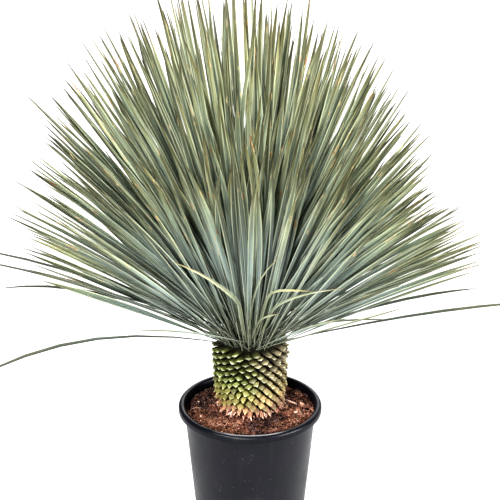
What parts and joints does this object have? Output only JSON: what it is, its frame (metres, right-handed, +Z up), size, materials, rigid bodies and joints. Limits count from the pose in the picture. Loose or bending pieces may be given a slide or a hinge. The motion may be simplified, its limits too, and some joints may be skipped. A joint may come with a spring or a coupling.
{
  "type": "potted beaked yucca",
  "caption": "Beaked yucca in a round black nursery pot: a short stem of trimmed leaf stubs under a dense ball of stiff, narrow blue-green leaves, standing in soil.",
  "frame": {"origin": "centre of the pot's flat base, on the surface it stands on", "axes": "+Z up along the pot's axis; -Y towards the viewer of the picture, +X to the viewer's right"},
  "size_m": [1.0492, 0.7388, 1.0805],
  "materials": {
    "pot": "matte black moulded plastic with a faint satin sheen and a little dust",
    "soil": "loose peat, coir and bark, reddish brown with darker damp patches",
    "stem": "trimmed leaf stubs, green above and straw to pink below, with pale cut ends",
    "leaves": "waxy blue-green leaf, olive towards the tip, with brown flecks and a dark dry point",
    "dry_sheath": "dry pinkish-straw leaf sheath"
  },
  "bodies": {
    "root": {"pot": "pot", "soil": "soil", "stem": "stem", "leaves": "leaves", "fallen_sheath_front": "dry_sheath", "fallen_sheath_right": "dry_sheath", "fallen_strip": "dry_sheath"}
  },
  "joints": []
}
